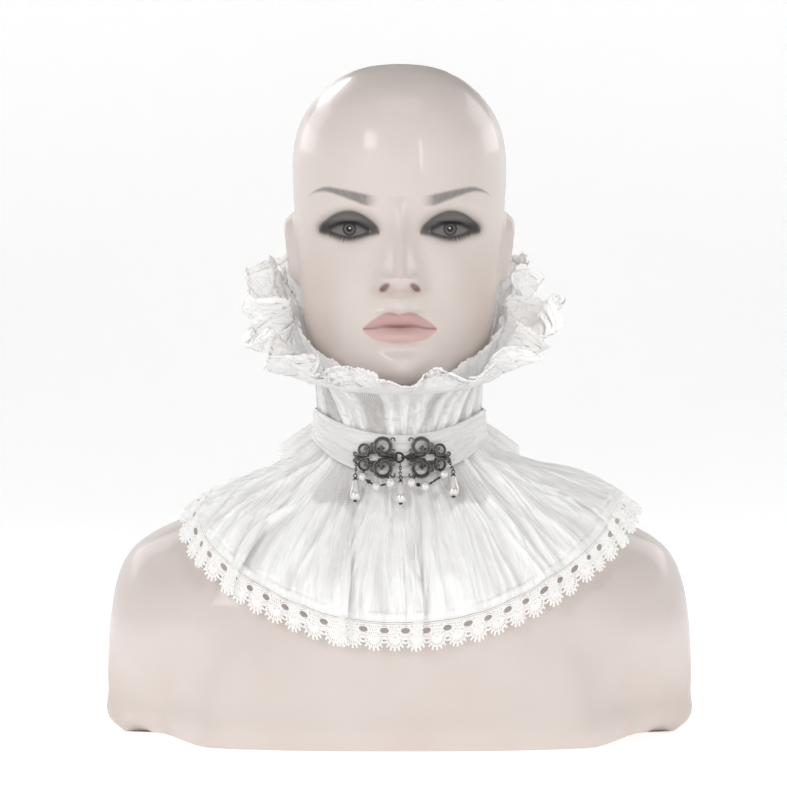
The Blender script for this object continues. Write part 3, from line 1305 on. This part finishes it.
def on_belt(x, z, lift):
    """The point in front of the belt with this X and height, at a lift from the bust's skin: a fixed
    point of turn = -arccos(x / (skin + lift))."""
    x, z = np.broadcast_arrays(np.asarray(x, float), np.asarray(z, float))
    turn = np.full(x.shape, FRONT)
    for _ in range(8):
        turn = -np.arccos(x / (skin(turn, z) + lift))
    return on_neck(turn, z, lift)


def belt_normals(points):
    """Level directions straight out from the neck's axis."""
    return unit((points - (0, NECK_Y, 0)) * (1, 1, 0))


def make_scrolls(side_name, side):
    """One half of the openwork clasp, in flat bands with raised rims. A scroll is an arc at its outer
    radius that draws in over its last third to a curl, whose middle has moved towards the clasp's own;
    straight bands join the scrolls and leave the slit of a leaf between them."""
    t = np.linspace(0, 1, SCROLL_POINTS)
    bands, widths, rims = [], [], []
    for along, up, outer, inner, first, sweep, wide, shift in SCROLLS:
        draw = ease((t - 0.60) / 0.40)
        reach = outer + (inner - outer) * draw
        for way in (1, -1):
            aim = np.radians(first + sweep * t)
            for off, into in ((0.0, bands), (RIM_PLACE * wide, rims), (-RIM_PLACE * wide, rims)):
                into.append(np.stack([
                    along - shift * draw + (reach + off) * np.cos(aim),
                    way * (up - 0.5 * shift * draw + (reach + off) * np.sin(aim))], axis=1))
            widths.append(wide * (0.55 + 0.45 * ease(t / 0.12) + 0.25 * hump(t, 1, 0.08)))
    for first, last, low, high, bulge, wide in BANDS:
        for way in (1, -1):
            along, up = first + (last - first) * t, low + (high - low) * t + bulge * np.sin(math.pi * t)
            bands.append(np.stack([along, way * up], axis=1))
            widths.append(wide * (0.45 + 0.55 * np.sin(math.pi * t) ** 0.5))
    for name, flat, thick, lift, squash, sides, metal in (
        ("clasp_bands_", np.array(bands), np.array(widths), -0.0007, 0.55, 8, METAL),
        ("clasp_rims_", np.array(rims), RIM, 0.0000, 1.0, 4, RUBBED),
    ):
        points = on_belt(CLASP_X + side * flat[..., 0], CLASP_Z + flat[..., 1], CLASP_FACE + lift)
        obj = tubes(name + side_name, points, thick, belt_normals(points), metal, sides=sides, flat=squash)
        stand_for(obj, "metal", "clasp_" + side_name)


def ring_of(middle, radius, count=28):
    """A closed ring of points that faces forward."""
    aim = circle(count)
    return middle + radius * np.stack([np.cos(aim), np.zeros(count), np.sin(aim)], axis=1)[None]


def make_fastening():
    """The round eye on one half of the clasp and the straight hook of the other, which rises over the
    eye."""
    lift = CLASP_FACE + 0.0012
    aim = circle(36)
    eye = on_belt(CLASP_X - 0.0020 + EYE_RING * np.cos(aim), CLASP_Z + EYE_RING * np.sin(aim), lift)[None]
    eye = tubes("fastening_eye", eye, FASTENING_WIRE, belt_normals(eye), METAL, sides=10, closed=True)
    t = np.linspace(0, 1, 24)
    bow = 0.0003 * np.sin(math.pi * t)
    over = lift + 0.0014 * hump(t, 0.22, 0.2)
    hook = on_belt(CLASP_X - 0.0004 + HOOK_LENGTH * t, CLASP_Z + bow, over)[None]
    hook = tubes("fastening_hook", hook, FASTENING_WIRE + bow, belt_normals(hook), METAL, sides=10)
    stand_for(eye, "metal", "clasp_eye")
    stand_for(hook, "metal", "clasp_hook")


def cap_quads(ring):
    """Quads across a ring of an even number of points, laid like rungs."""
    last = len(ring) - 1
    return [(ring[k], ring[k + 1], ring[last - 1 - k], ring[last - k]) for k in range(len(ring) // 2 - 1)]


def turned(name, profile, middle, lean, material, body, columns=32, rows=40):
    """A turned form: radius and height read from the profile by a smooth curve, spun about the upright
    line through its middle, then leaned forward about X."""
    table = [(k, *point) for k, point in enumerate(profile)]
    at = np.linspace(0, len(profile) - 1, rows)
    radius, height = smooth(at, table, 1), smooth(at, table, 2)
    radius[0] = radius[-1] = 0.00002
    aim, z = grid(circle(columns), height)
    x, y = radius[None] * np.cos(aim), radius[None] * np.sin(aim)
    sine, cosine = math.sin(lean), math.cos(lean)
    leaned = np.stack([x, y * cosine + z * sine, -y * sine + z * cosine], axis=-1)
    ring = np.arange(columns) * rows
    ends = np.array(cap_quads(ring) + [quad[::-1] for quad in cap_quads(ring + rows - 1)])
    quads = np.vstack([grid_quads(columns, rows, True), ends])
    return new_object(name, leaned + middle, quads, material, body)


def make_pearls():
    """The round pearls of the swag."""
    aim = np.linspace(0, math.pi, 13)
    for name, x, z, radius in PEARLS:
        profile = np.stack([radius * np.sin(aim), radius * np.cos(aim)], axis=1)
        obj = turned("bead_" + name[-1], profile, on_belt(x, z, SWAG_LIFT), 0.0, PEARL, BODY)
        stand_for(obj, "pearl", name)


def solid_points(name):
    """The points of a solid, in the collar's own frame."""
    return np.array([v.co for v in NODES[name].data.vertices]) + (0, ORIGIN_Y, 0)


def node_axis(name):
    """The two ends of a straight wire's solid: the middles of the points furthest apart along its
    length."""
    co = solid_points(name)
    middle = co.mean(axis=0)
    way = np.linalg.svd(co - middle)[2][0]
    run = (co - middle) @ way
    return middle + way * run.min(), middle + way * run.max()


def make_links():
    """Wires between the pearls and up to the clasp: a twisted double wire, with a five-pointed spacer on
    some."""
    t = np.linspace(0, 1, 18)[:, None]
    for name in WIRES:
        a, b = node_axis(name)
        way = unit(b - a)
        out = unit(np.array([0.0, -1.0, 0.0]) + way * way[1])
        across = np.cross(way, out)
        phase = t * TWO_PI * 1.5
        twist = WIRE_APART * (np.cos(phase) * out + np.sin(phase) * across)
        wires = [a + (b - a) * t + twist, a + (b - a) * t - twist]
        if name in SPACERS:
            aim = t * TWO_PI
            reach = 0.0011 * (1 + 0.32 * np.cos(5 * aim))
            wires.append((a + b) / 2 + reach * (np.cos(aim) * way + np.sin(aim) * across) + out * 0.0007)
        lines = np.array(wires)
        obj = tubes("wire_" + name, lines, WIRE, np.broadcast_to(out, lines.shape), METAL, sides=6)
        stand_for(obj, "metal", name)


def make_hangers():
    """The short chains that carry the drops: small rings along each wire's line, turned by turns."""
    aim = circle(16)[:, None]
    for name in ("hanger_left", "hanger_centre", "hanger_right"):
        co = solid_points(name)
        top, low = co[co[:, 2].argmax()], co[co[:, 2].argmin()]
        length = np.linalg.norm(top - low)
        count = max(2, int(round(length / CHAIN_STEP)))
        half = length / count / 2 + 0.0004
        way = (low - top) / length
        rings = []
        for k in range(count):
            side = np.array([1.0, 0, 0]) if k % 2 else np.array([0.0, -1.0, 0.0])
            side = unit(side - way * (side @ way))
            middle = top + way * length * (k + 0.5) / count
            rings.append(middle + half * np.cos(aim) * way + 0.0008 * np.sin(aim) * side)
        lines = np.array(rings)
        out = np.broadcast_to((0.3, -0.9, 0.2), lines.shape)
        obj = tubes(name.replace("hanger", "chain"), lines, 0.0003, out, METAL, sides=6, closed=True)
        stand_for(obj, "metal", name)


def make_drops():
    """Each drop in its own body: the pearl, its cap and foot bead, and the ring that it hangs by. Its
    middle and lean come from its joint, whose axis lies across the lean."""
    for joint in frame["joints"]:
        body = joint["child"]
        side = body.split("_")[0]
        axis = np.array(joint["axis"], float)
        lean = math.atan2(axis[2], -axis[1])
        eye = np.array(joint["pos_m"], float) + (0, ORIGIN_Y, 0)
        pearl = turned("drop_pearl_" + side, DROP_PEARL, eye, lean, PEARL, body)
        cap = turned("drop_cap_" + side, DROP_CAP, eye, lean, METAL, body, 20, 20)
        foot = turned("drop_foot_" + side, DROP_FOOT, eye, lean, METAL, body, 20, 16)
        ring = ring_of(eye - (0, 0, 0.0003), 0.0011)
        out = belt_normals(ring)
        ring = tubes("drop_ring_" + side, ring, 0.00036, out, METAL, body, sides=8, closed=True)
        stand_for(pearl, "pearl", "drop_" + side)


def make_knot():
    """The bow's knot: a ball with blunt sides and lengthwise pleats."""
    columns, rows = 40, 24
    aim, rise = grid(circle(columns), np.linspace(-1.5, 1.5, rows))
    ball = np.stack([np.cos(rise) * np.cos(aim), np.cos(rise) * np.sin(aim), np.sin(rise)], axis=-1)
    puff = 1 + 0.05 * np.cos(9 * aim + 2 * rise) * np.cos(rise)
    ball = np.sign(ball) * np.abs(ball) ** 0.8 * KNOT_HALF * puff[..., None] + (0, *KNOT)
    ends = np.array(cap_quads(np.arange(columns) * rows))
    quads = np.vstack([grid_quads(columns, rows, True), ends, ends[:, ::-1] + rows - 1])
    knot = new_object("knot_cloth", ball, quads[:, ::-1], CHIFFON)
    lay_map_from(knot)
    stand_for(knot, "cloth", "bow_knot")


def make_loop(side_name, side, t, v):
    """A loop of the bow, a strip along a closed curve: out = reach sin(pi t), depth = sin(2 pi t), with v
    across the ribbon, which gathers at the knot."""
    root = KNOT_HALF[0] - 0.0010
    bulge = np.sin(math.pi * t)
    out = root + (LOOP_REACH - root) * bulge**0.8
    ripple = 0.0009 * np.sin(v * 9 + 2 * np.sin(5 * t)) * (1 - 0.6 * bulge)
    depth = LOOP_HALF_DEPTH * np.sin(TWO_PI * t) * bulge**0.5 + 0.0032 * (2 * t - 1)
    wide = RIBBON * (0.45 + 0.55 * bulge**0.6)
    up = KNOT[1] - LOOP_DROOP * bulge**1.5 + wide / 2 * v
    points = np.stack([side * out, KNOT[0] + depth + ripple, up], axis=-1)
    quads = grid_quads(*t.shape)
    if side < 0:
        quads = quads[:, ::-1]
    loop = new_object("loop_cloth_" + side_name, points, quads, CHIFFON)
    if side > 0:
        lay_map(loop, *t.shape, v * 0.012, t * 0.18)
    else:
        lay_map_from(loop)
    mark(loop, net=np.zeros(t.shape))
    shell(loop)
    stand_for(loop, "cloth", "bow_loop_" + side_name)


def make_tail(side_name, side, t, v):
    """A tail of the bow, which runs down the cape's back, wider below the knot and notched at its end."""
    down = TAIL_START + (TAIL_LENGTH - TAIL_START) * t
    half = 0.5 * RIBBON * np.interp(down, (0.0, 0.035), (0.35, 1.0))
    lean = side * (0.068 + 2.5 * down)
    turn = NAPE - (lean + v * half / TAIL_AXIS)
    lift = TAIL_LIFT + 0.0006 * np.sin(v * 7 + 3 * np.sin(4 * t)) * (1 - 0.5 * t)
    notch = 0.0040 * np.abs(v) * ease((t - 0.94) / 0.06)
    points = drape(turn, down - notch, lift)
    tail = new_object("tail_cloth_" + side_name, points, grid_quads(*t.shape)[:, ::-1], CHIFFON)
    lay_map_from(tail)
    mark(tail, net=np.zeros(t.shape))
    shell(tail)
    stand_for(tail, "cloth", "bow_tail_" + side_name)


def make_floor():
    """A pale sweep of floor and backdrop in one turned sheet: flat, then a quarter round up to a wall."""
    t = np.linspace(0, 1, 24) * math.pi / 2
    reach = np.concatenate([[0.001, 0.8], 1.7 + 1.5 * np.sin(t)])
    z = np.concatenate([[0.0, 0.0], 1.5 - 1.5 * np.cos(t)]) - 0.0004
    columns = 64
    aim, z = grid(circle(columns), z)
    points = np.stack([reach * np.cos(aim), ORIGIN_Y + reach * np.sin(aim), z], axis=-1)
    material, tree, shader = tree_of("paper")
    set_inputs(shader, {
        "Base Color": (0.93, 0.93, 0.93, 1),
        "Roughness": 0.9,
        "Emission Color": (1, 1, 1, 1),
        "Emission Strength": PAPER_GLOW,
    })
    floor = new_object("floor", points, grid_quads(columns, len(reach), True)[:, ::-1], material, body=None)


def put_in_scene(name, data, place, turn):
    """An object for a light or a camera, in its place."""
    obj = bpy.data.objects.new(name, data)
    obj.location = place
    obj.rotation_euler = turn
    bpy.context.scene.collection.objects.link(obj)
    return obj


def make_lights():
    """Soft lights that face the bust, and a faint even light from all round."""
    world = bpy.data.worlds.new("studio")
    bpy.context.scene.world = world
    world.use_nodes = True
    sky = world.node_tree.nodes["Background"]
    sky.inputs[0].default_value = (1.0, 0.99, 0.98, 1)
    sky.inputs[1].default_value = SKY
    for name, place, size, power in LIGHTS:
        light = bpy.data.lights.new(name, "AREA")
        light.shape = "RECTANGLE"
        light.size, light.size_y = size
        light.energy = power
        x, y, z = np.array(LIT_POINT) - place
        turn = (math.pi / 2 + math.atan2(z, math.hypot(x, y)), 0, math.atan2(y, x) - math.pi / 2)
        put_in_scene(name, light, place, turn)


def make_camera():
    """The camera at the photograph's angle, level and straight in front."""
    camera = bpy.data.cameras.new("camera")
    camera.lens = CAMERA_LENS
    camera.sensor_width = CAMERA_SENSOR
    bpy.context.scene.camera = put_in_scene("camera", camera, CAMERA_PLACE, (math.pi / 2, 0, 0))
    bpy.context.scene.view_settings.view_transform = "Standard"


make_floor()
make_lights()
make_camera()

rows = [np.linspace(first, last, count, endpoint=False) for first, last, count in HEAD_ROWS]
rows.append(0.380 + (CROWN[2] - 0.3801) * np.sin(np.linspace(0, 1, 30) * math.pi / 2))
rows = np.concatenate(rows)
make_bust("bust_head", 320, rows[rows < HEAD_LAST_ROW], CROWN)
make_bust("bust_shoulders", 200, np.concatenate([[0.0, 0.001, 0.003], np.linspace(0.006, 0.2355, 62)]))
make_neck()
make_belt()
for side_name, first in (("right", FRONT), ("left", NAPE)):
    cape = make_cape(side_name, first)
    lace = make_hem_lace(side_name, first)
ruff = make_ruff()
make_ruff_lace()
make_ruff_fold()
for side_name, way in (("left", -1), ("right", 1)):
    make_scrolls(side_name, way)
make_fastening()
make_pearls()
make_links()
make_hangers()
make_drops()
make_knot()
length_share, width_share = grid(np.linspace(0, 1, 90), np.linspace(1, -1, 15))
for side_name, way in (("left", -1), ("right", 1)):
    make_loop(side_name, way, length_share, width_share)
    make_tail(side_name, way, length_share, width_share)
